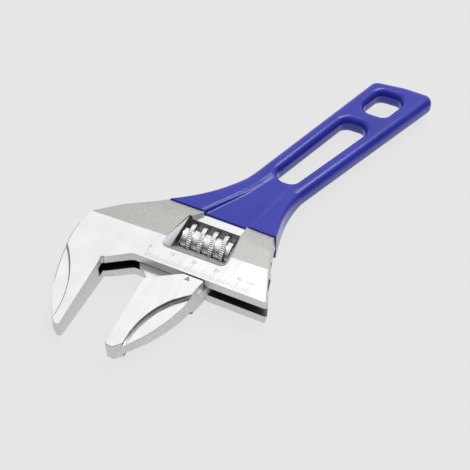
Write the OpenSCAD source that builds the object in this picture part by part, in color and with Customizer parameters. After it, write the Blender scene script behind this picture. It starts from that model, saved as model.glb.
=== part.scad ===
// Adjustable wrench with slim jaws, a dipped openwork handle and an engraved jaw scale.
// X is the way the movable jaw opens, Y runs from the jaw tips towards the handle, Z is up.
// The origin is on the underside, where the fixed jaw's gripping plane meets the lip line.

/* [Jaws] */
// Gap between the gripping faces as stored
jaw_gap = 20.7; // [1:0.1:45]
// How far the jaw tips reach in front of the lip
jaw_reach = 42; // [38:0.5:44]
// Thickness of both jaws at the tips
tip_t = 8.6; // [8:0.1:11]
// Depth of the hollow ground into the outer side of each jaw
relief_d = 2.1; // [0.5:0.1:2.4]

/* [Head] */
// Thickness of the head
head_t = 14.4; // [14.2:0.1:15]
// Height of the keyway between the two lips
keyway_h = 5.1; // [4.5:0.1:5.5]
// Diameter of the bore that the jaw's round bar slides in
bar_bore_d = 9.4; // [9.2:0.1:9.4]
// Distance from the lip line to the middle of that bore
bar_y = 10.6; // [10.55:0.05:10.65]

/* [Worm] */
// Outer diameter of the worm
worm_d = 14.2; // [13.6:0.1:14.2]
// Diameter at the bottom of the worm's thread
root_d = 10.8; // [10.4:0.1:10.8]
// Distance from one turn of the thread to the next
pitch = 5; // [4.9:0.05:5.1]
// Length of the worm
worm_len = 21.6; // [20:0.1:22]
// Distance from the lip line to the worm's axis
worm_y = 20.8; // [20.75:0.05:20.85]
// Diameter of the pin that the worm turns on
pin_d = 3.5; // [3:0.1:3.8]

/* [Handle] */
// Thickness of the dipped handle
handle_t = 9.2; // [8:0.1:11]
// Thickness of the dipped coating
coat_t = 0.8; // [0.5:0.1:1]
// Where the coating starts, measured from the lip line
dip_y = 32.3; // [31:0.1:36]

/* [Hidden] */
$fn = 64;

mid = head_t / 2;            // every piece is symmetric about this height
big = 200;                   // larger than any cut needs to be
sliver = 0.01;               // lets a cut pass a face cleanly

// Clearances of the moving fits
bar_gap = 0.08;              // radial, jaw bar in its bore
web_gap = 0.1;               // each side, jaw web in the keyway
pin_gap = 0.05;              // radial, worm on its pin
mesh_gap = 0.3;              // worm thread to rack groove

// Jaw shape
jaw_slope = atan((mid - tip_t / 2) / jaw_reach);
rear_t = 13.6;               // movable jaw where it slides along the lips
draft = 1.3;                 // how far the forged sides lean in over half the thickness
throat_y = -7.2;             // where the angled step meets the fixed jaw
step_end = 10.9;             // where the angled step meets the lip line

// Worm window
window_x0 = 22.8;
window_x1 = 46.7;
window_y0 = 10.2;
window_y1 = 28.1;
worm_x0 = window_x0 + 1.2;
worm_x1 = worm_x0 + worm_len;
mesh_x = 28.6;               // a thread crest stands here on the side that meets the rack
crest_w = 1.7;               // width of the thread at its crest
flank = 15;                  // slope of the thread's sides from square
helix = atan(pitch / (PI * (worm_d + root_d) / 2));

rim_d = 1.1;                 // depth of the dished rim round the window

// Spring seat in the worm's end
seat_d = 6.2;
seat_depth = 8.5;
wire_d = 0.6;
coil_r = 2.45;
coils = 6;

// Movable jaw's bar and web, measured from its gripping face
bar_r = bar_bore_d / 2 - bar_gap;
bar_x0 = -6.9;
bar_x1 = 33;

// Handle
core_t = handle_t - 2 * coat_t;
neck_y0 = 23.5;              // the neck starts to thin here
neck_y1 = 60;                // and reaches the handle's thickness here
floor_z0 = 12;               // height of the channel's floor at the worm window
floor_fall = 2.6;            // slope of that floor towards the slot

// ---- Outlines: corners are [x, y, radius], anticlockwise round the shape ----

// Sides of the head and of the fixed jaw at mid height, carried on past the front
head_corners = [
    [0.4, -46, 0], [88.6, -46, 0], [61.4, 26.8, 16], [60, 36, 0], [58.6, 44, 0],
    [24, 44, 0], [5, 29.4, 60], [-5.6, 22.6, 30], [-16.6, 13.2, 5], [-18.5, 2, 24],
    [-16.2, -24.9, 71.5]
];

// Gripping face, throat and lip line
front_corners = [
    [-40, -41.6, 0], [0, -41.6, 0.6], [0, throat_y, 0], [step_end, 0, 4], [71.4, 0, 1.8],
    [69, 12, 0], [90, 60, 0], [-40, 60, 0]
];

grip_corners = [
    [7.6, 30.3, 0], [60.8, 30.3, 0], [57, 52, 40], [93.6, 141.4, 4], [78, 141.9, 40],
    [62.9, 139.9, 4.5], [28.6, 44, 74]
];

slot_corners = [
    [43.8, 64.9, 4.2], [54.3, 64.9, 4.2], [73.2, 110.5, 4.2], [60, 110.5, 4.2]
];

hang_corners = [
    [63.1, 119.2, 4], [75.9, 119.2, 4], [81.6, 133.9, 4], [68.2, 133.6, 4]
];

channel_corners = [
    [22.8, 25, 0], [46.7, 25, 0], [47.2, 32.2, 0], [48.8, 36, 0], [54, 58.2, 0], [55.6, 66, 0],
    [43.8, 66, 0], [37.2, 51.2, 0], [28.3, 35.5, 0], [27.3, 32.2, 0], [24, 28.1, 0], [22.8, 26, 0]
];

window_corners = [
    [window_x0, window_y0, 0], [window_x1, window_y0, 0], [window_x1, window_y1, 0],
    [window_x0, window_y1, 0]
];

window_rim_corners = [
    [19, 8.3, 2.6], [48.2, 8.7, 3], [48.2, 17, 10], [window_x1, window_y1, 0],
    [window_x0, window_y1, 0], [19.4, 14, 8]
];

jaw_corners = [
    [0, -9.4, 1.2], [0, -jaw_reach, 0.8], [3.4, -jaw_reach - 0.4, 1], [17.5, -28.5, 59],
    [20.7, -9.5, 0], [22.7, -0.4, 0.6], [13.3, -0.4, 3], [1.3, -8, 1.2]
];

web_corners = [
    [0, -6.2, 0], [2, -9, 0], [22, -4.4, 0], [23.8, -0.2, 0], [26.5, 6.4, 0],
    [bar_x1, bar_y, 0], [bar_x0, bar_y, 0], [bar_x0, -0.3, 0]
];

keyway_corners = [
    [-8.4, -1.6, 0], [0.4, -10.2, 0], [big, -10.2, 0], [big, bar_y, 0], [-8.4, bar_y, 0]
];

// ---- Outline functions ----

function flat(p) = [p[0], p[1]];
function unit(v) = v / norm(v);
function prev(c, i) = c[(i + len(c) - 1) % len(c)];
function next(c, i) = c[(i + 1) % len(c)];
function side(v) = [v[1], -v[0]];

// A corner at b, between a and d, as points along an arc
function corner_arc(a, b, d, r) =
    let(
        u = unit(flat(a) - flat(b)),
        v = unit(flat(d) - flat(b)),
        half = acos(u * v) / 2,
        centre = flat(b) + unit(u + v) * r / sin(half),
        from = flat(b) + u * r / tan(half) - centre,
        to = flat(b) + v * r / tan(half) - centre,
        start = atan2(from[1], from[0]),
        turn = atan2(from[0] * to[1] - from[1] * to[0], from * to),
        steps = ceil(abs(turn) / (r > 10 ? 4 : 15))
    )
    [for (k = [0 : steps]) centre + r * [cos(start + turn * k / steps), sin(start + turn * k / steps)]];

function rounded(c) = [
    for (i = [0 : len(c) - 1])
        each c[i][2] == 0 ? [flat(c[i])] : corner_arc(prev(c, i), c[i], next(c, i), c[i][2])
];

// The same outline moved outwards by d, or inwards where d is negative
function grown(c, d) = [
    for (i = [0 : len(c) - 1])
        let(
            e0 = unit(flat(c[i]) - flat(prev(c, i))),
            e1 = unit(flat(next(c, i)) - flat(c[i])),
            n0 = side(e0),
            n1 = side(e1),
            out = (n0 + n1) * d / (1 + n0 * n1),
            convex = e0[0] * e1[1] - e0[1] * e1[0] > 0
        )
        [c[i][0] + out[0], c[i][1] + out[1], c[i][2] == 0 ? 0 : max(0.2, c[i][2] + (convex ? d : -d))]
];

module plate(corners, z0, z1) {
    translate([0, 0, z0]) linear_extrude(z1 - z0) polygon(rounded(corners));
}

// Forged blank: fullest at mid height, its sides leaning in towards both faces
module forged(corners) {
    rings = [rounded(grown(corners, -draft)), rounded(corners), rounded(grown(corners, -draft))];
    n = len(rings[1]);
    points = [for (k = [0 : 2]) each [for (p = rings[k]) [p[0], p[1], k * mid]]];
    sides = [for (k = [0, 1], i = [0 : n - 1])
        let(a = k * n + i, b = k * n + (i + 1) % n)
        each [[a, a + n, b + n], [a, b + n, b]]];
    lower = [for (i = [0 : n - 1]) i];
    upper = [for (i = [n - 1 : -1 : 0]) 2 * n + i];
    polyhedron(points, concat(sides, [lower, upper]));
}

// A long bar along X whose (y, z) outline is symmetric about mid height
module profile_along_x(half_profile) {
    lower = [for (i = [len(half_profile) - 1 : -1 : 0]) [half_profile[i][0], -half_profile[i][1]]];
    translate([-big / 2, 0, mid]) rotate([90, 0, 90])
        linear_extrude(2 * big) polygon(concat(half_profile, lower));
}

// ---- Shared cuts ----

// Thickness of the jaws: full at the lip line, thin at the tips
module jaw_taper(rear_half) {
    break_y = -(mid - rear_half) / tan(jaw_slope);
    profile_along_x([
        [-jaw_reach - 1, mid - (jaw_reach + 1) * tan(jaw_slope)], [break_y, rear_half], [big, rear_half]
    ]);
}

// Hollow ground into both faces of a jaw, bounded by a round wall
module relief(centre, r) {
    for (up = [0, 1]) translate([0, 0, mid]) mirror([0, 0, up])
        intersection() {
            translate([centre[0], centre[1], 0]) cylinder(r = r, h = head_t, $fn = 128);
            translate([0, 0, mid - relief_d]) rotate([jaw_slope, 0, 0])
                translate([-big / 2, -big / 2, 0]) cube([big, big, head_t]);
        }
}

module along_x(x0, x1, y, r) {
    translate([x0, y, mid]) rotate([0, 90, 0]) cylinder(r = r, h = x1 - x0);
}

// ---- Body: head, fixed jaw and the handle's steel core in one forging ----

// (y, z) profile of the handle, grown by the coating where there is one
module handle_profile(extra) {
    profile_along_x([
        [-big, mid + extra], [neck_y0, mid + extra],
        [neck_y1, core_t / 2 + extra], [big, core_t / 2 + extra]
    ]);
}

// Handle with its slot and hanging hole, grown by extra
module handle_shape(extra) {
    intersection() {
        difference() {
            plate(grown(grip_corners, extra - coat_t), 0, head_t);
            plate(grown(slot_corners, coat_t - extra), -1, head_t + 1);
            plate(grown(hang_corners, coat_t - extra), -1, head_t + 1);
        }
        handle_profile(extra);
    }
}

// Sunk channel from the worm window to the slot, on both faces
module channel(extra) {
    for (up = [0, 1]) translate([0, 0, mid]) mirror([0, 0, up])
        translate([0, window_y1, floor_z0 - mid + extra]) rotate([-floor_fall, 0, 0])
            translate([0, -window_y1, 0]) plate(grown(channel_corners, -extra), 0, head_t);
}

// Opening for the worm, dished round its rim on both faces for the thumb
module window() {
    plate(window_corners, -1, head_t + 1);
    for (up = [0, 1]) translate([0, 0, mid]) mirror([0, 0, up])
        hull() {
            plate(window_rim_corners, mid - sliver, mid + 1);
            plate(window_corners, mid - rim_d, mid);
        }
}

module keyway() {
    plate(keyway_corners, mid - keyway_h / 2, mid + keyway_h / 2);
    along_x(-8.4, big, bar_y, bar_bore_d / 2);
}

module body_blank() {
    intersection() {
        forged(head_corners);
        plate(front_corners, 0, head_t);
        jaw_taper(mid);
        handle_profile(0);
    }
    handle_shape(0);
}

module body() {
    color("gainsboro") difference() {
        body_blank();
        relief([-50.3, -38.4], 46.4);
        translate([0.8, throat_y - 0.3, -1]) cylinder(r = 0.9, h = head_t + 2, $fn = 32);
        keyway();
        window();
        channel(0);
        along_x(window_x0 - 5.2, 58, worm_y, pin_d / 2 + 0.03);
        along_x(57, big, worm_y, 2.85);
    }
}

// ---- Movable jaw with its web, round bar and rack ----

// Trapezoid groove for one turn of the worm, leaning with the thread
module rack_groove() {
    bottom = worm_y - worm_d / 2 - mesh_gap;
    half_bottom = crest_w / 2 + mesh_gap;
    half_top = half_bottom + 4 * tan(flank);
    translate([0, 0, mid]) rotate([0, -helix, 0]) translate([0, 0, -8]) linear_extrude(16)
        polygon([[-half_bottom, bottom], [half_bottom, bottom], [half_top, bottom + 4], [-half_top, bottom + 4]]);
}

module movable_jaw() {
    first = mesh_x - jaw_gap;
    color("whitesmoke") translate([jaw_gap, 0, 0]) difference() {
        union() {
            intersection() {
                plate(jaw_corners, 0, head_t);
                jaw_taper(rear_t / 2);
            }
            plate(web_corners, mid - keyway_h / 2 + web_gap, mid + keyway_h / 2 - web_gap);
            along_x(bar_x0, bar_x1, bar_y, bar_r);
        }
        relief([42.2, -37.2], 35.7);
        for (k = [ceil((bar_x0 - 1 - first) / pitch) : floor((bar_x1 + 1 - first) / pitch)])
            translate([first + k * pitch, 0, 0]) rack_groove();
    }
}

// ---- Worm: a right-handed thread on a hollow core, turned by the thumb ----

thread_steps = 36;           // sections in one turn
thread_in = root_d / 2 - 0.5;
thread_out = worm_d / 2 + 0.5;

function thread_half(r) = crest_w / 2 + (worm_d / 2 - r) * tan(flank);

// The four corners of the thread's section at one angle round the axis
function thread_section(angle) =
    let(x = mesh_x + pitch * angle / 360)
    [for (q = [[thread_in, -1], [thread_out, -1], [thread_out, 1], [thread_in, 1]])
        [x + q[1] * thread_half(q[0]), -q[0] * cos(angle), -q[0] * sin(angle)]];

module thread() {
    turns = [floor((worm_x0 - mesh_x) / pitch) - 1, ceil((worm_x1 - mesh_x) / pitch) + 1];
    count = (turns[1] - turns[0]) * thread_steps;
    points = [for (i = [0 : count]) each thread_section(360 * (turns[0] + i / thread_steps))];
    sides = [for (i = [0 : count - 1], j = [0 : 3])
        let(a = 4 * i + j, b = 4 * i + (j + 1) % 4)
        each [[a, b, b + 4], [a, b + 4, a + 4]]];
    ends = [[3, 2, 1], [3, 1, 0], [4 * count, 4 * count + 1, 4 * count + 2],
        [4 * count, 4 * count + 2, 4 * count + 3]];
    polyhedron(points, concat(sides, ends));
}

module worm() {
    color("lightgray") difference() {
        union() {
            intersection() {
                translate([0, worm_y, mid]) thread();
                along_x(worm_x0, worm_x1, worm_y, worm_d / 2);
            }
            along_x(worm_x0, worm_x1, worm_y, root_d / 2);
        }
        along_x(worm_x0 - 1, worm_x1 + 1, worm_y, pin_d / 2 + pin_gap);
        along_x(worm_x0 - 1, worm_x0 + seat_depth, worm_y, seat_d / 2);
    }
}

// ---- Worm pin: plain shank, thicker slotted end screwed into the head's side ----

module worm_pin() {
    color("darkgray") difference() {
        union() {
            along_x(window_x0 - 5, 58, worm_y, pin_d / 2);
            intersection() {
                along_x(57, 66, worm_y, 2.85);
                forged(grown(head_corners, -0.2));
            }
        }
        translate([61.4, worm_y - 4, mid - 0.45]) cube([8, 8, 0.9]);
    }
}

// ---- Spring that takes up the worm's end play ----

spring_steps = 16;           // sections in one coil
spring_sides = 8;

// Slow turns in the middle, touching turns at the two ends
function spring_x(t) =
    let(x0 = window_x0 + wire_d / 2 + 0.05, x1 = worm_x0 + seat_depth - wire_d / 2 - 0.05)
    x0 + (x1 - x0) * (t - sin(360 * t) / 7);

function spring_ring(t) =
    [for (k = [0 : spring_sides - 1])
        let(r = coil_r + wire_d / 2 * cos(360 * k / spring_sides), a = 360 * coils * t)
        [spring_x(t) + wire_d / 2 * sin(360 * k / spring_sides), r * cos(a), r * sin(a)]];

module worm_spring() {
    count = coils * spring_steps;
    points = [for (i = [0 : count]) each spring_ring(i / count)];
    sides = [for (i = [0 : count - 1], k = [0 : spring_sides - 1])
        let(a = spring_sides * i + k, b = spring_sides * i + (k + 1) % spring_sides)
        each [[a, a + spring_sides, b + spring_sides], [a, b + spring_sides, b]]];
    first = [for (k = [0 : spring_sides - 1]) k];
    last = [for (k = [spring_sides - 1 : -1 : 0]) spring_sides * count + k];
    color("dimgray") translate([0, worm_y, mid]) polyhedron(points, concat(sides, [first, last]));
}

// ---- Dipped coating round the handle ----

module handle_grip() {
    color("mediumblue") difference() {
        handle_shape(coat_t);
        difference() {
            body_blank();
            channel(0);
        }
        channel(coat_t);
        translate([-big / 2, dip_y - big, -big / 2]) cube([big, big, big]);
    }
}

body();
movable_jaw();
worm();
worm_pin();
worm_spring();
handle_grip();
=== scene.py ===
"""Adjustable wrench: its looks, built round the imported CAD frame.

Metres. X opens the movable jaw, Y runs to the handle, Z is up.
"""
import math

import bmesh
import bpy
import numpy as np
from mathutils import Matrix, Vector

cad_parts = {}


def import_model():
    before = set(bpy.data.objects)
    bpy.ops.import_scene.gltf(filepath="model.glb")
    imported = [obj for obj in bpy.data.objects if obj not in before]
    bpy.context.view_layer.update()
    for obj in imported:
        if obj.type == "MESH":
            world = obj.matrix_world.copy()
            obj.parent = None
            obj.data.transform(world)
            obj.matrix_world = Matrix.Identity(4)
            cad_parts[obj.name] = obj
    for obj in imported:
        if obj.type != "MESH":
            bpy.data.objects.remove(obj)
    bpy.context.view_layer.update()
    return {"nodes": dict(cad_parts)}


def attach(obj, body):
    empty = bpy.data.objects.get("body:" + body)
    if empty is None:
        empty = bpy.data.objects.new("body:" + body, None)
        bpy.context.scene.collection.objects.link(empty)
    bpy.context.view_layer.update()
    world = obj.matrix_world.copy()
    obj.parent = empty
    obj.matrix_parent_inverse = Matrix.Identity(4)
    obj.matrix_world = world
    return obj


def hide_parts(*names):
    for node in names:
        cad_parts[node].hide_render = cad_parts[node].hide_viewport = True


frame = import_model()
NODES = frame["nodes"]
MM = 0.001

# ---- Sizes in millimetres, the same as the CAD model's ----

MID = 7.2                    # mid height, about which every piece is symmetric
TOP = 2 * MID                # the head's upper face
WORM_Y = 20.8
WORM_X0 = 24.0
WORM_LEN = 21.6
WORM_R = 7.1
ROOT_R = 5.4
PITCH = 5.0
CREST_W = 1.7
FLANK = math.radians(15)
CREST_AT = 28.6              # x of a crest on the side that meets the rack
PIN_HOLE_R = 1.8
RELIEF_D = 2.1               # depth of the hollow ground into each jaw
TIP_T = 8.6                  # thickness of the jaws at their tips
JAW_REACH = 42
JAW_SLOPE = (MID - TIP_T / 2) / JAW_REACH
DIP_Y = 32.5                 # where the handle's coating starts
NECK_Y0 = 23.5               # the handle thins between these two
NECK_Y1 = 60
HEAD_HALF = 8.0
NECK_THINNING = 3.4

# Round walls of the hollows: x and y of the centre, and radius
BODY_RELIEF = (-50.3, -38.4, 46.4)
JAW_RELIEF = (62.9, -37.2, 35.7)

# Tight places whose edges stay sharp: x, y and radius
BODY_TIGHT = ((69.5, 0, 3.2), (-2, -40, 4.5), (11, 1.5, 4.5), (45.5, 9.5, 3.0), (21, 8.5, 1.5))
JAW_TIGHT = ((21, -9, 1.5), (42, -11, 4))

# Corners are [x, y, radius], anticlockwise
GRIP = [[7.6, 30.3, 0], [60.8, 30.3, 0], [57, 52, 40], [93.6, 141.4, 4], [78, 141.9, 40],
        [62.9, 139.9, 4.5], [28.6, 44, 74]]
SLOT = [[43.8, 64.9, 4.2], [54.3, 64.9, 4.2], [73.2, 110.5, 4.2], [60, 110.5, 4.2]]
HANG = [[63.1, 119.2, 4], [75.9, 119.2, 4], [81.6, 133.9, 4], [68.2, 133.6, 4]]
CHANNEL = [[23, 20, 0], [46.9, 20, 0], [47.2, 32.2, 6], [53.3, 58.2, 20], [56.5, 72, 0],
           [47.6, 72, 0], [38.3, 51, 30], [27.2, 32.5, 4], [24, 28, 0], [23, 26, 0]]

# Areas that the head's material tells apart: x from, x to, y from, y to
# Painted shade goes in the keyway area
KEYWAY_AREA = (-9, 99, -10.3, 12)
# Painted shade goes on the next three areas: the worm's pocket, the window's dished rim and its front band
POCKET_AREA = (22.7, 46.9, 10.1, 28.15)
DISH_AREA = (15, 47.4, 9, 28.1)
FRONT_RIM_AREA = (22.9, 46.6, 9.55, 10.3)
FAR = 99

# Reflected colours of the steel, darkest and lightest where there are two
SATIN_FACE = ((0.35, 0.35, 0.337), (0.51, 0.51, 0.493))
# Painted light: satin sides coloured lighter than the level satin faces
SATIN_SIDE_PAINTED_LIGHT = ((0.55, 0.55, 0.55), (0.95, 0.95, 0.95))
BRIGHT_FACE = ((0.80, 0.805, 0.81), (0.88, 0.88, 0.88))
# Painted shade on the upper round walls of the jaws' hollows
HOLLOW_WALL_SHADE = (0.22, 0.22, 0.225)
# Painted shade inside the worm's window and on its rim
WINDOW_SHADE = (0.34, 0.34, 0.35)
# Painted shade inside the keyway
KEYWAY_SHADE = (0.13, 0.13, 0.13)
BAR_TONE = (0.36, 0.36, 0.36)


# ---- Node helpers ----

class Look:
    """A node material with short calls for what the finishes share."""

    def __init__(self, name):
        self.material = bpy.data.materials.new(name)
        self.material.use_nodes = True
        self.tree = self.material.node_tree
        self.shader = self.tree.nodes["Principled BSDF"]
        self.place = self.node("ShaderNodeTexCoord").outputs["Object"]

    def node(self, kind, **values):
        made = self.tree.nodes.new(kind)
        for key, value in values.items():
            setattr(made, key, value)
        return made

    def link(self, a, b):
        self.tree.links.new(a, b)

    def set(self, **values):
        for key, value in values.items():
            self.shader.inputs[key.replace("_", " ")].default_value = value

    def noise(self, scale, detail=2.0, stretch=(1, 1, 1)):
        mapping = self.node("ShaderNodeMapping")
        mapping.inputs["Scale"].default_value = stretch
        self.link(self.place, mapping.inputs["Vector"])
        made = self.node("ShaderNodeTexNoise")
        made.inputs["Scale"].default_value = scale
        made.inputs["Detail"].default_value = detail
        self.link(mapping.outputs["Vector"], made.inputs["Vector"])
        return made.outputs["Fac"]

    def math(self, operation, *values):
        made = self.node("ShaderNodeMath", operation=operation)
        for socket, value in zip(made.inputs, values):
            if isinstance(value, (int, float)):
                socket.default_value = value
            else:
                self.link(value, socket)
        return made.outputs[0]

    def product(self, first, *others):
        for other in others:
            first = self.math("MULTIPLY", first, other)
        return first

    def rest(self, value):
        return self.math("SUBTRACT", 1.0, value)

    def split(self, vector):
        made = self.node("ShaderNodeSeparateXYZ")
        self.link(vector, made.inputs[0])
        return made.outputs

    def ramp(self, value, low, high, to_low, to_high):
        made = self.node("ShaderNodeMapRange")
        for key, number in (("From Min", low), ("From Max", high), ("To Min", to_low), ("To Max", to_high)):
            made.inputs[key].default_value = number
        self.link(value, made.inputs["Value"])
        return made.outputs["Result"]

    def mix(self, factor, a, b):
        made = self.node("ShaderNodeMix", data_type="RGBA")
        self.link(factor, made.inputs["Factor"])
        for key, value in (("A", a), ("B", b)):
            socket = [s for s in made.inputs if s.name == key and s.type == "RGBA"][0]
            if isinstance(value, tuple):
                socket.default_value = (*value, 1)
            else:
                self.link(value, socket)
        return [s for s in made.outputs if s.type == "RGBA"][0]

    def bump(self, height, strength, distance):
        made = self.node("ShaderNodeBump")
        made.inputs["Strength"].default_value = strength
        made.inputs["Distance"].default_value = distance
        self.link(height, made.inputs["Height"])
        return made.outputs["Normal"]


# ---- Materials ----

def between(look, value, low, high, soft=0.05):
    """1 where the value, in metres, lies between two figures in millimetres."""
    after = look.ramp(value, (low - soft) * MM, (low + soft) * MM, 0, 1)
    before = look.ramp(value, (high - soft) * MM, (high + soft) * MM, 1, 0)
    return look.math("MULTIPLY", after, before)


def in_area(look, x, y, area):
    """1 inside an area given as x from, x to, y from, y to."""
    return look.product(between(look, x, *area[:2]), between(look, y, *area[2:]))


def hollow_wall(look, x, y, level, relief):
    """1 on the upper part of the round wall of a jaw's hollow, which gets a painted shade."""
    away = look.node("ShaderNodeVectorMath", operation="DISTANCE")
    flattened = look.node("ShaderNodeCombineXYZ")
    look.link(x, flattened.inputs[0])
    look.link(y, flattened.inputs[1])
    look.link(flattened.outputs[0], away.inputs[0])
    away.inputs[1].default_value = (relief[0] * MM, relief[1] * MM, 0)
    ring = between(look, away.outputs["Value"], relief[2] - 0.25, relief[2] + 0.34)
    untapered = look.math("MULTIPLY_ADD", y, -JAW_SLOPE, level)
    return look.product(ring, between(look, untapered, MID - RELIEF_D + 0.7, FAR))


def window_rim(look, x, y, level, flat):
    """1 on the dished rim of the worm's window and on a band along its front edge, both given a painted
    shade.
    """
    dish = look.product(in_area(look, x, y, DISH_AREA), look.rest(flat))
    front = in_area(look, x, y, FRONT_RIM_AREA)
    return look.product(look.math("MAXIMUM", dish, front), between(look, level, 5.9, FAR))


def ahead_of_satin(look, x, y, level, satin_from):
    """1 ahead of the slanting line where the bright ground face ends, and on the channel's floor."""
    line = look.math("MULTIPLY_ADD", x, -0.034, -(satin_from + 0.5) * MM)
    ahead = look.ramp(look.math("ADD", y, line), -0.06 * MM, 0.06 * MM, 1, 0)
    channel = look.product(between(look, level, 0, 5.0), between(look, y, 28, 40))
    return look.math("MAXIMUM", ahead, channel)


def steel_surface(look, bright, tone):
    """Base colour, and the roughness and grain that go with bright and satin places."""
    grain = look.noise(2600, 3)
    cloud = look.noise(90, 3)
    fine = look.noise(500, 4, (1, 0.08, 1))
    bright_tone = look.mix(look.ramp(cloud, 0.3, 0.7, 0, 1), *BRIGHT_FACE)
    look.link(look.mix(bright, tone, bright_tone), look.shader.inputs["Base Color"])
    rough_satin = look.ramp(grain, 0.3, 0.7, 0.40, 0.56)
    rough_bright = look.ramp(fine, 0.3, 0.7, 0.16, 0.24)
    difference = look.math("SUBTRACT", rough_bright, rough_satin)
    rough = look.math("MULTIPLY_ADD", bright, difference, rough_satin)
    look.link(rough, look.shader.inputs["Roughness"])
    height = look.product(grain, look.rest(bright))
    look.link(look.bump(height, 0.35, 0.00006), look.shader.inputs["Normal"])
    look.set(Metallic=1.0)


def satin_tones(look, turned):
    """Speckled satin steel, with painted light: the sides are coloured lighter than level faces."""
    grain = look.noise(2600, 3)
    coarse = look.noise(1100, 3)
    speckle = look.product(look.ramp(grain, 0.3, 0.7, 0, 1), look.ramp(coarse, 0.25, 0.6, 0.3, 1))
    # Painted light: faces that are not level take the lighter side colour
    level_face = look.ramp(turned, 0.75, 0.93, 0, 1)
    return look.mix(level_face, look.mix(speckle, *SATIN_SIDE_PAINTED_LIGHT), look.mix(speckle, *SATIN_FACE))


def jaw_or_head(name, relief):
    """What both steels start from: the look, the place, the masks and the satin tone, with painted light on
    its sides and painted shade on the hollow's wall.
    """
    look = Look(name)
    x, y, z = look.split(look.place)
    normal = look.split(look.node("ShaderNodeNewGeometry").outputs["True Normal"])
    turned = look.math("ABSOLUTE", normal[2])
    flat = look.ramp(turned, 0.985, 0.995, 0, 1)
    level = look.math("ABSOLUTE", look.math("SUBTRACT", z, MID * MM))
    # Painted shade on the hollow's round wall
    wall = look.product(hollow_wall(look, x, y, level, relief), look.rest(flat))
    tone = look.mix(wall, satin_tones(look, turned), HOLLOW_WALL_SHADE)
    return look, x, y, level, flat, tone


def head_steel(name, relief, satin_from):
    """Bright ground face ahead of a line, satin behind it, and painted shade in the keyway, the worm pocket
    and on the window's rim.
    """
    look, x, y, level, flat, tone = jaw_or_head(name, relief)
    # Painted shade in the keyway, set by place
    keyway = look.product(between(look, level, -9, 2.7), in_area(look, x, y, KEYWAY_AREA))
    pocket = in_area(look, x, y, POCKET_AREA)
    rim = window_rim(look, x, y, level, flat)
    # Painted shade takes the place of the bright face in the pocket and on the rim
    painted_shade = look.math("MAXIMUM", pocket, rim)
    ahead = ahead_of_satin(look, x, y, level, satin_from)
    bright = look.product(flat, look.rest(keyway), look.rest(painted_shade), ahead)
    # Painted shade: darker colours in the pocket, on the rim and in the keyway
    for mask, colour in ((pocket, WINDOW_SHADE), (rim, WINDOW_SHADE), (keyway, KEYWAY_SHADE)):
        tone = look.mix(mask, tone, colour)
    steel_surface(look, bright, tone)
    return look.material


def jaw_steel_look(name, relief, bar_from):
    """Bright ground faces, and an even tone on the bar and web from a y on."""
    look, _, y, _, flat, tone = jaw_or_head(name, relief)
    bar = between(look, y, bar_from, 10 * FAR)
    steel_surface(look, look.product(flat, look.rest(bar)), look.mix(bar, tone, BAR_TONE))
    return look.material


def plain_steel(name, low, high, rough, scale):
    look = Look(name)
    grain = look.noise(scale, 3)
    look.link(look.mix(look.ramp(grain, 0.3, 0.7, 0, 1), low, high), look.shader.inputs["Base Color"])
    look.link(look.ramp(grain, 0.3, 0.7, rough * 0.8, rough * 1.25), look.shader.inputs["Roughness"])
    look.link(look.bump(grain, 0.15, 0.00003), look.shader.inputs["Normal"])
    look.set(Metallic=1.0)
    return look.material


def vinyl(name):
    """Glossy dipped coating: even colour, a soft orange-peel skin and a clear shine."""
    look = Look(name)
    cloud = look.noise(60, 3)
    peel = look.noise(420, 2)
    tone = look.mix(look.ramp(cloud, 0.3, 0.7, 0, 1), (0.014, 0.019, 0.36), (0.022, 0.028, 0.43))
    look.link(tone, look.shader.inputs["Base Color"])
    look.link(look.ramp(peel, 0.3, 0.7, 0.30, 0.38), look.shader.inputs["Roughness"])
    look.link(look.bump(peel, 0.10, 0.00012), look.shader.inputs["Normal"])
    look.set(Coat_Weight=0.85, Coat_Roughness=0.20, Coat_IOR=1.5, Specular_IOR_Level=0.1)
    return look.material


# ---- Mesh helpers ----

def add_piece(name, mesh, material, body, replaces=()):
    piece = bpy.data.objects.new(name, mesh)
    bpy.context.scene.collection.objects.link(piece)
    mesh.materials.clear()
    mesh.materials.append(material)
    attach(piece, body)
    if replaces:
        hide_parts(*replaces)
    return piece


def outer_edge(edge, lowest, front_to, tight):
    """An edge of the two broad sides ahead of a y, away from the tight places given as x, y and radius."""
    for vertex in edge.verts:
        x, y, z = (c / MM for c in vertex.co)
        if abs(z - MID) < lowest or y > front_to:
            return False
        if any(math.hypot(x - at[0], y - at[1]) < at[2] for at in tight):
            return False
    return True


def relief_edge(edge, relief, end_x):
    """The outer rim of the hollow that is ground into a jaw, beyond an x."""
    if relief is None or not edge.is_convex:
        return False
    for vertex in edge.verts:
        x, y = vertex.co.x / MM, vertex.co.y / MM
        if abs(math.hypot(x - relief[0], y - relief[1]) - relief[2]) > 0.08 or x < end_x:
            return False
    return abs(edge.verts[0].co.z - edge.verts[1].co.z) < 1.5 * MM


def draw_in_core(form, under=0.15, rounds=3):
    """Moves the steel behind the coating's front edge to lie under its surface, by a depth in millimetres."""
    for y in (DIP_Y - 0.6, DIP_Y - 0.3, DIP_Y + 0.7):
        geometry = form.verts[:] + form.edges[:] + form.faces[:]
        bmesh.ops.bisect_plane(form, geom=geometry, dist=0.001 * MM,
                               plane_co=(0, y * MM, 0), plane_no=(0, 1, 0))
    covered = [v for v in form.verts if v.co.y / MM > dip_line(v.co.x / MM) + 0.6]
    if not covered:
        return
    for _ in range(rounds):
        here, slope = field_slope(np.array([v.co for v in covered]) / MM)
        size = np.maximum((slope ** 2).sum(axis=1), 0.25)
        move = slope * (np.maximum(here + under, 0) / size)[:, None]
        for vertex, way in zip(covered, move):
            vertex.co -= Vector(way.tolist()) * MM


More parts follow.
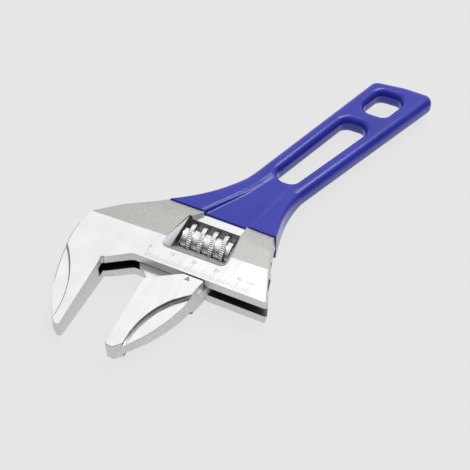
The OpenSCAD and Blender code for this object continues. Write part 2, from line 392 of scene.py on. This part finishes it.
def rounded_copy(node, width, lowest, front_to, tight, relief=None, end_x=-FAR, sharp=24.0):
    """The node's mesh with its outer edges turned into small round ones and its covered core drawn in."""
    mesh = NODES[node].data.copy()
    form = bmesh.new()
    form.from_mesh(mesh)
    bmesh.ops.remove_doubles(form, verts=form.verts, dist=0.002 * MM)
    bmesh.ops.dissolve_limit(form, angle_limit=math.radians(0.4), verts=form.verts, edges=form.edges)
    draw_in_core(form)
    edges = [e for e in form.edges
             if len(e.link_faces) == 2 and e.calc_face_angle(0) > math.radians(sharp)
             and (outer_edge(e, lowest, front_to, tight) or relief_edge(e, relief, end_x))]
    bmesh.ops.bevel(form, geom=edges, offset=width * MM, offset_type="OFFSET", segments=3, profile=0.5,
                    affect="EDGES", clamp_overlap=False, miter_outer="ARC")
    for face in form.faces:
        face.smooth = True
    for edge in form.edges:
        edge.smooth = edge.calc_face_angle(0) < math.radians(32)
    form.to_mesh(mesh)
    form.free()
    return mesh


def corner_arc(before, corner, after, radius, steps=14):
    here, back, on = (np.array(p[:2], float) for p in (corner, before, after))
    u = (back - here) / np.linalg.norm(back - here)
    v = (on - here) / np.linalg.norm(on - here)
    half = math.acos(u @ v) / 2
    centre = here + (u + v) / np.linalg.norm(u + v) * radius / math.sin(half)
    start = here + u * radius / math.tan(half) - centre
    end = here + v * radius / math.tan(half) - centre
    first = math.atan2(start[1], start[0])
    turn = math.atan2(start[0] * end[1] - start[1] * end[0], start @ end)
    angles = first + turn * np.linspace(0, 1, steps)
    return [centre + radius * np.array([math.cos(a), math.sin(a)]) for a in angles]


def outline(corners):
    points = []
    for i, corner in enumerate(corners):
        if corner[2] == 0:
            points.append(np.array(corner[:2], float))
        else:
            points += corner_arc(corners[i - 1], corner, corners[(i + 1) % len(corners)], corner[2])
    return np.array(points)


def distance_2d(corners, x, y):
    """Signed distance from an outline on a grid: negative inside."""
    points = outline(corners)
    best = np.full(np.broadcast_shapes(x.shape, y.shape), 1e9)
    inside = np.zeros(best.shape, bool)
    for a, b in zip(points, np.roll(points, -1, 0)):
        along = b - a
        length = along @ along
        if length < 1e-12:
            continue
        t = np.clip(((x - a[0]) * along[0] + (y - a[1]) * along[1]) / length, 0, 1)
        best = np.minimum(best, (x - a[0] - t * along[0]) ** 2 + (y - a[1] - t * along[1]) ** 2)
        crosses = (a[1] > y) != (b[1] > y)
        if along[1] != 0:
            inside ^= crosses & (x < a[0] + (y - a[1]) * along[0] / along[1])
    return np.sqrt(best) * np.where(inside, -1, 1)


def both(a, b, radius):
    """Inside both shapes, with a round edge of that radius where they meet."""
    outer = np.hypot(np.maximum(a + radius, 0), np.maximum(b + radius, 0))
    return outer + np.minimum(np.maximum(a, b) + radius, 0) - radius


def either(a, b, radius):
    """Inside either shape, with a fillet of that radius where they meet."""
    return -both(-a, -b, radius)


def surface(values, start, step):
    """A quad mesh of the surface where the values on a grid pass through zero (surface nets)."""
    inside = values < 0
    shape = np.array(values.shape)
    total = np.zeros((*(shape - 1), 3))
    count = np.zeros(shape - 1)
    corners = [(i, j, k) for i in (0, 1) for j in (0, 1) for k in (0, 1)]

    def part(grid, corner):
        return grid[tuple(slice(c, c + n - 1) for c, n in zip(corner, shape))]

    for axis in range(3):
        for low in corners:
            if low[axis] == 1:
                continue
            high = tuple(c + (k == axis) for k, c in enumerate(low))
            va, vb = part(values, low), part(values, high)
            cut = part(inside, low) != part(inside, high)
            share = np.where(cut, va / np.where(cut, va - vb, 1), 0)
            for k in range(3):
                total[..., k] += cut * (low[k] + (share if k == axis else 0))
            count += cut
    used = count > 0
    index = np.full(used.shape, -1)
    index[used] = np.arange(used.sum())
    points = total[used] / count[used][:, None] + np.argwhere(used)
    quads = []
    for axis in range(3):
        u, v = (axis + 1) % 3, (axis + 2) % 3
        low = [slice(None)] * 3
        high = [slice(None)] * 3
        low[axis], high[axis] = slice(0, -1), slice(1, None)
        change = inside[tuple(low)].astype(int) - inside[tuple(high)].astype(int)
        places = np.argwhere(change)
        keep = np.all((places[:, [u, v]] > 0) & (places[:, [u, v]] < shape[[u, v]] - 1), axis=1)
        places = places[keep]
        sign = change[tuple(places.T)]
        ring = []
        for du, dv in ((-1, -1), (0, -1), (0, 0), (-1, 0)):
            cell = places.copy()
            cell[:, u] += du
            cell[:, v] += dv
            ring.append(index[tuple(cell.T)])
        ring = np.array(ring).T
        quads.append(np.where((sign > 0)[:, None], ring, ring[:, ::-1]))
    return start + points * step, np.vstack(quads)


def mesh_from(name, points, faces, smooth=True):
    mesh = bpy.data.meshes.new(name)
    mesh.from_pydata([tuple(p) for p in points], [], [tuple(int(i) for i in f) for f in faces])
    mesh.update()
    mesh.polygons.foreach_set("use_smooth", [smooth] * len(mesh.polygons))
    return mesh


# ---- Handle coating ----

def dip_line(x):
    """The y where the coating starts, curving forward on the right."""
    return DIP_Y - 0.0042 * np.maximum(x - 42, 0) ** 2


def handle_field(x, y, z):
    """Signed distance, in millimetres, of the dipped handle's outside."""
    edge, slot, hang, channel = (distance_2d(c, x, y) for c in (GRIP, SLOT, HANG, CHANNEL))
    up = np.abs(z - MID)
    along = np.clip((y - NECK_Y0) / (NECK_Y1 - NECK_Y0), 0, 1)
    half = np.minimum(HEAD_HALF - NECK_THINNING * along, MID - 0.01)
    open_part = np.clip((y - 34) / 26, 0, 1)
    crown = np.clip(1 + edge / 6, 0, 1) ** 2 + np.clip(1 - np.minimum(slot, hang) / 5, 0, 1) ** 2
    top = up - half + 0.55 * open_part * crown
    solid = both(edge, top, 0.7 + 2.3 * open_part)
    solid = np.maximum(solid, both(-slot, top, 2.8))
    solid = np.maximum(solid, both(-hang, top, 2.8))
    floor = up - (5.6 - 0.0454 * (y - 28.1))
    sunk = both(top, either(-channel, floor, 1.3), 0.9)
    ledge = either(-(channel - 1.2), up - (half - 0.22), 0.3)
    solid = np.maximum(solid, both(sunk, ledge, 0.3))
    return both(solid, dip_line(x) - y, 0.5)


def field_slope(points, probe=0.02):
    """The field at each point and its gradient."""
    here = handle_field(*points.T)
    steps = [(handle_field(*(points + d).T) - here) / probe for d in np.eye(3) * probe]
    return here, np.stack(steps, axis=1)


def settle(points, rounds=3):
    """Moves points onto the surface where the field is zero."""
    for _ in range(rounds):
        here, slope = field_slope(points)
        size = np.maximum((slope ** 2).sum(axis=1), 0.25)
        points = points - np.clip(here / size, -0.2, 0.2)[:, None] * slope
    return points


def handle_coating(material):
    step = 0.4
    low = np.array([6.0, 30.2, -1.0])
    high = np.array([95.0, 144.0, 15.4])
    x, y, z = (np.arange(a, b, step) for a, b in zip(low, high))
    values = handle_field(x[:, None, None], y[None, :, None], z[None, None, :])
    points, quads = surface(values, low, step)
    box = [np.array(NODES["handle_grip"].bound_box)[i] / MM for i in (0, 6)]
    points = np.clip(settle(points), *box)
    mesh = mesh_from("handle_coating", points * MM, quads)
    slope = field_slope(points)[1]
    slope /= np.maximum(np.linalg.norm(slope, axis=1), 1e-6)[:, None]
    mesh.normals_split_custom_set_from_vertices(slope.tolist())
    return add_piece("handle_coating", mesh, material, "body", ["handle_grip"])


# ---- Worm ----

def worm_wheel(material):
    """Right-handed thread whose crests carry fine notches across, on a hollow core."""
    notches = 48
    per_notch = 6
    around = notches * per_notch
    crest = CREST_W / 2
    flank = (WORM_R - ROOT_R) * math.tan(FLANK)
    soft = 0.18
    stations = [
        (-crest + soft, 1.0), (0.0, 1.0), (crest - soft, 1.0), (crest, 0.95), (crest + flank * 0.5, 0.5),
        (crest + flank, 0.08), (crest + flank + 0.35, 0.0), (PITCH - crest - flank - 0.35, 0.0),
        (PITCH - crest - flank, 0.08), (PITCH - crest - flank * 0.5, 0.5), (PITCH - crest, 0.95),
    ]
    turns = range(-3, 5)
    profile = [(k * PITCH + s, h) for k in turns for s, h in stations]
    points, faces = [], []
    for i in range(around + 1):
        angle = 2 * math.pi * i / around
        phase = (i % per_notch) / per_notch
        notch = 0.16 * max(0.0, 1 - abs(phase - 0.5) * 3.2)
        for s, height in profile:
            radius = ROOT_R + (WORM_R - ROOT_R) * height - (notch if height > 0.9 else 0)
            x = CREST_AT + s + PITCH * angle / (2 * math.pi)
            y = WORM_Y - radius * math.cos(angle)
            z = MID - radius * math.sin(angle)
            points.append((x * MM, y * MM, z * MM))
    n = len(profile)
    for i in range(around):
        for j in range(n - 1):
            a, b = i * n + j, (i + 1) * n + j
            faces.append((a, a + 1, b + 1, b))
    mesh = mesh_from("worm_wheel", points, faces, smooth=False)
    form = bmesh.new()
    form.from_mesh(mesh)
    # The strip's two long sides meet one pitch apart
    bmesh.ops.remove_doubles(form, verts=form.verts, dist=0.0005 * MM)
    for x, way in ((WORM_X0, -1), (WORM_X0 + WORM_LEN, 1)):
        geometry = form.verts[:] + form.edges[:] + form.faces[:]
        bmesh.ops.bisect_plane(form, geom=geometry, plane_co=(x * MM, 0, 0), plane_no=(way, 0, 0),
                               clear_outer=True, dist=1e-8)
    close_worm_ends(form)
    bmesh.ops.recalc_face_normals(form, faces=form.faces)
    form.to_mesh(mesh)
    form.free()
    return add_piece("worm_wheel", mesh, material, "worm", ["worm"])


def close_worm_ends(form):
    """Flat ends with a chamfered hole through the middle."""
    sides = 48
    rims = []
    for x in (WORM_X0, WORM_X0 + WORM_LEN):
        inward = 1 if x == WORM_X0 else -1
        edge_loop = [e for e in form.edges
                     if e.is_boundary and all(abs(v.co.x - x * MM) < 1e-6 for v in e.verts)]
        rings = []
        for radius, depth in ((PIN_HOLE_R + 1.3, 0.0), (PIN_HOLE_R, 0.9 * inward)):
            rings.append([form.verts.new(((x + depth) * MM,
                                          (WORM_Y + radius * math.cos(2 * math.pi * k / sides)) * MM,
                                          (MID + radius * math.sin(2 * math.pi * k / sides)) * MM))
                          for k in range(sides)])
        inner = [form.edges.new((rings[0][k], rings[0][(k + 1) % sides])) for k in range(sides)]
        bmesh.ops.triangle_fill(form, edges=edge_loop + inner, use_beauty=True, use_dissolve=False)
        for k in range(sides):
            m = (k + 1) % sides
            form.faces.new((rings[0][k], rings[0][m], rings[1][m], rings[1][k]))
        rims.append(rings[1])
    for k in range(sides):
        m = (k + 1) % sides
        form.faces.new((rims[0][k], rims[0][m], rims[1][m], rims[1][k]))


# ---- Engraving ----

def slab(form, x0, x1, y0, y1, z0, z1):
    made = bmesh.ops.create_cube(form, size=1.0)
    bmesh.ops.scale(form, vec=((x1 - x0) * MM, (y1 - y0) * MM, (z1 - z0) * MM), verts=made["verts"])
    centre = Vector((x0 + x1, y0 + y1, z0 + z1)) * MM / 2
    bmesh.ops.translate(form, vec=centre, verts=made["verts"])


SCALE_X0 = 15.8              # x of the zero tick
SCALE_END = 46
TICK_Y = 0.75
TICK_HALF_W = 0.09
TICK_PROUD = 0.008
NUMBER_Y = 6.1


def scale_ticks(material):
    form = bmesh.new()
    for reading in range(SCALE_END + 1):
        length = 4.0 if reading % 10 == 0 else 3.0 if reading % 5 == 0 else 2.0
        x = SCALE_X0 + reading
        slab(form, x - TICK_HALF_W, x + TICK_HALF_W, TICK_Y, TICK_Y + length, TOP - 0.05, TOP + TICK_PROUD)
    mesh = bpy.data.meshes.new("scale_ticks")
    form.to_mesh(mesh)
    form.free()
    return add_piece("scale_ticks", mesh, material, "body")


def scale_number(text, x, y, size, material):
    curve = bpy.data.curves.new("digits", "FONT")
    curve.body = text
    curve.size = size * MM
    curve.align_x = "CENTER"
    curve.align_y = "CENTER"
    curve.extrude = 0.03 * MM
    curve.resolution_u = 4
    made = bpy.data.objects.new("digits", curve)
    bpy.context.scene.collection.objects.link(made)
    bpy.context.view_layer.update()
    mesh = bpy.data.meshes.new_from_object(made.evaluated_get(bpy.context.evaluated_depsgraph_get()))
    bpy.data.objects.remove(made)
    mesh.transform(Matrix.Translation(Vector((x, y, TOP - 0.022)) * MM))
    form = bmesh.new()
    form.from_mesh(mesh)
    bmesh.ops.remove_doubles(form, verts=form.verts, dist=0.0005 * MM)
    form.to_mesh(mesh)
    form.free()
    return add_piece("scale_" + text, mesh, material, "body")


def index_mark(material):
    """Pointer on the movable jaw that reads against the scale."""
    top = MID + 6.81
    points = [(36.8, -0.75), (35.6, -3.1), (38.2, -3.1)]
    lower = [(x * MM, y * MM, (top - 0.3) * MM) for x, y in points]
    upper = [(x * MM, y * MM, top * MM) for x, y in points]
    faces = [(0, 1, 2)[::-1], (3, 4, 5), (0, 1, 4, 3), (1, 2, 5, 4), (2, 0, 3, 5)]
    mesh = mesh_from("index_mark", lower + upper, faces, smooth=False)
    return add_piece("index_mark", mesh, material, "jaw")


# ---- Stage ----

SKY_CENTRE = (-0.27, 0.57, 0.78)
SKY_STRENGTH = 1.0
SOFTBOX_WAY = (0.15, 0.41, 0.90)
CAMERA_PLACE = (0.1750, -0.2512, 0.3920)
CAMERA_TURN = (39.045, 0.104, 25.052)
CAMERA_LENS = 90.46


def stage():
    half, drop = 3.0, -0.0002
    points = [(-half, -half, drop), (half, -half, drop), (half, half, drop), (-half, half, drop)]
    mesh = mesh_from("floor", points, [(0, 1, 2, 3)], smooth=False)
    floor = bpy.data.objects.new("floor", mesh)
    bpy.context.scene.collection.objects.link(floor)
    material = bpy.data.materials.new("pale_floor")
    material.use_nodes = True
    shader = material.node_tree.nodes["Principled BSDF"]
    shader.inputs["Base Color"].default_value = (0.06, 0.06, 0.06, 1)
    shader.inputs["Roughness"].default_value = 1.0
    shader.inputs["Specular IOR Level"].default_value = 0.0
    shader.inputs["Emission Color"].default_value = (1, 1, 1, 1)
    shader.inputs["Emission Strength"].default_value = 0.74
    mesh.materials.append(material)


def area_light(name, direction, distance, size, power):
    data = bpy.data.lights.new(name, "AREA")
    data.shape = "RECTANGLE"
    data.size, data.size_y = size
    data.energy = power
    lamp = bpy.data.objects.new(name, data)
    aim = Vector((0.04, 0.03, 0.007))
    way = Vector(direction).normalized()
    lamp.location = aim + way * distance
    lamp.rotation_euler = (-way).to_track_quat("-Z", "Y").to_euler()
    bpy.context.scene.collection.objects.link(lamp)


def world():
    """A soft studio sky: brightest high at the back, falling to a dark front."""
    made = bpy.data.worlds.new("studio")
    made.use_nodes = True
    tree = made.node_tree
    back = tree.nodes["Background"]
    place = tree.nodes.new("ShaderNodeTexCoord")
    toward = tree.nodes.new("ShaderNodeVectorMath")
    toward.operation = "DOT_PRODUCT"
    toward.inputs[1].default_value = SKY_CENTRE
    ramp = tree.nodes.new("ShaderNodeValToRGB")
    ramp.color_ramp.interpolation = "B_SPLINE"
    tree.links.new(place.outputs["Generated"], toward.inputs[0])
    tree.links.new(toward.outputs["Value"], ramp.inputs["Fac"])
    tree.links.new(ramp.outputs["Color"], back.inputs["Color"])
    stops = ramp.color_ramp.elements
    stops[0].position, stops[0].color = 0.05, (0.10, 0.10, 0.11, 1)
    stops[1].position, stops[1].color = 0.80, (1, 1, 1, 1)
    middle = stops.new(0.45)
    middle.color = (0.45, 0.45, 0.46, 1)
    back.inputs["Strength"].default_value = SKY_STRENGTH
    bpy.context.scene.world = made


def camera():
    data = bpy.data.cameras.new("camera")
    data.lens = CAMERA_LENS
    data.sensor_width = 36.0
    data.clip_start = 0.01
    eye = bpy.data.objects.new("camera", data)
    eye.location = CAMERA_PLACE
    eye.rotation_euler = [math.radians(a) for a in CAMERA_TURN]
    bpy.context.scene.collection.objects.link(eye)
    bpy.context.scene.camera = eye


# ---- Build ----

camera()
world()
stage()
area_light("softbox", SOFTBOX_WAY, 1.0, (0.55, 0.35), 3.6)
bpy.context.scene.view_settings.view_transform = "Standard"

body_steel = head_steel("forged_steel", BODY_RELIEF, satin_from=12.6)
jaw_steel = jaw_steel_look("jaw_steel", JAW_RELIEF, bar_from=3)
worm_steel = plain_steel("worm_steel", (0.80, 0.80, 0.81), (0.94, 0.94, 0.94), 0.16, 900)
pin_steel = plain_steel("pin_steel", (0.30, 0.30, 0.31), (0.42, 0.42, 0.42), 0.32, 900)
spring_steel = plain_steel("spring_steel", (0.10, 0.10, 0.11), (0.17, 0.17, 0.17), 0.35, 900)
etched = plain_steel("etched_marks", (0.30, 0.30, 0.30), (0.40, 0.40, 0.40), 0.5, 2600)
index_tone = plain_steel("index_fill", (0.28, 0.25, 0.22), (0.34, 0.31, 0.28), 0.6, 2600)

body = add_piece("wrench_body", rounded_copy("body", 0.45, 3.5, 9, BODY_TIGHT, BODY_RELIEF, -13.5),
                 body_steel, "body", ["body"])
jaw = add_piece("sliding_jaw", rounded_copy("movable_jaw", 0.25, 2.6, 0.5, JAW_TIGHT),
                jaw_steel, "jaw", ["movable_jaw"])
for piece in (body, jaw):
    even = piece.modifiers.new("even_shading", "WEIGHTED_NORMAL")
    even.weight = 90
    even.keep_sharp = True
worm_wheel(worm_steel)
handle_coating(vinyl("grip_vinyl"))
scale_ticks(etched)
for value in range(0, 50, 10):
    scale_number(str(value), SCALE_X0 + value, NUMBER_Y, 2.3, etched)
scale_number("mm", SCALE_X0 + 44.8, NUMBER_Y, 2.1, etched)
index_mark(index_tone)
for node_name, finish in (("worm_pin", pin_steel), ("worm_spring", spring_steel)):
    NODES[node_name].data.materials.clear()
    NODES[node_name].data.materials.append(finish)
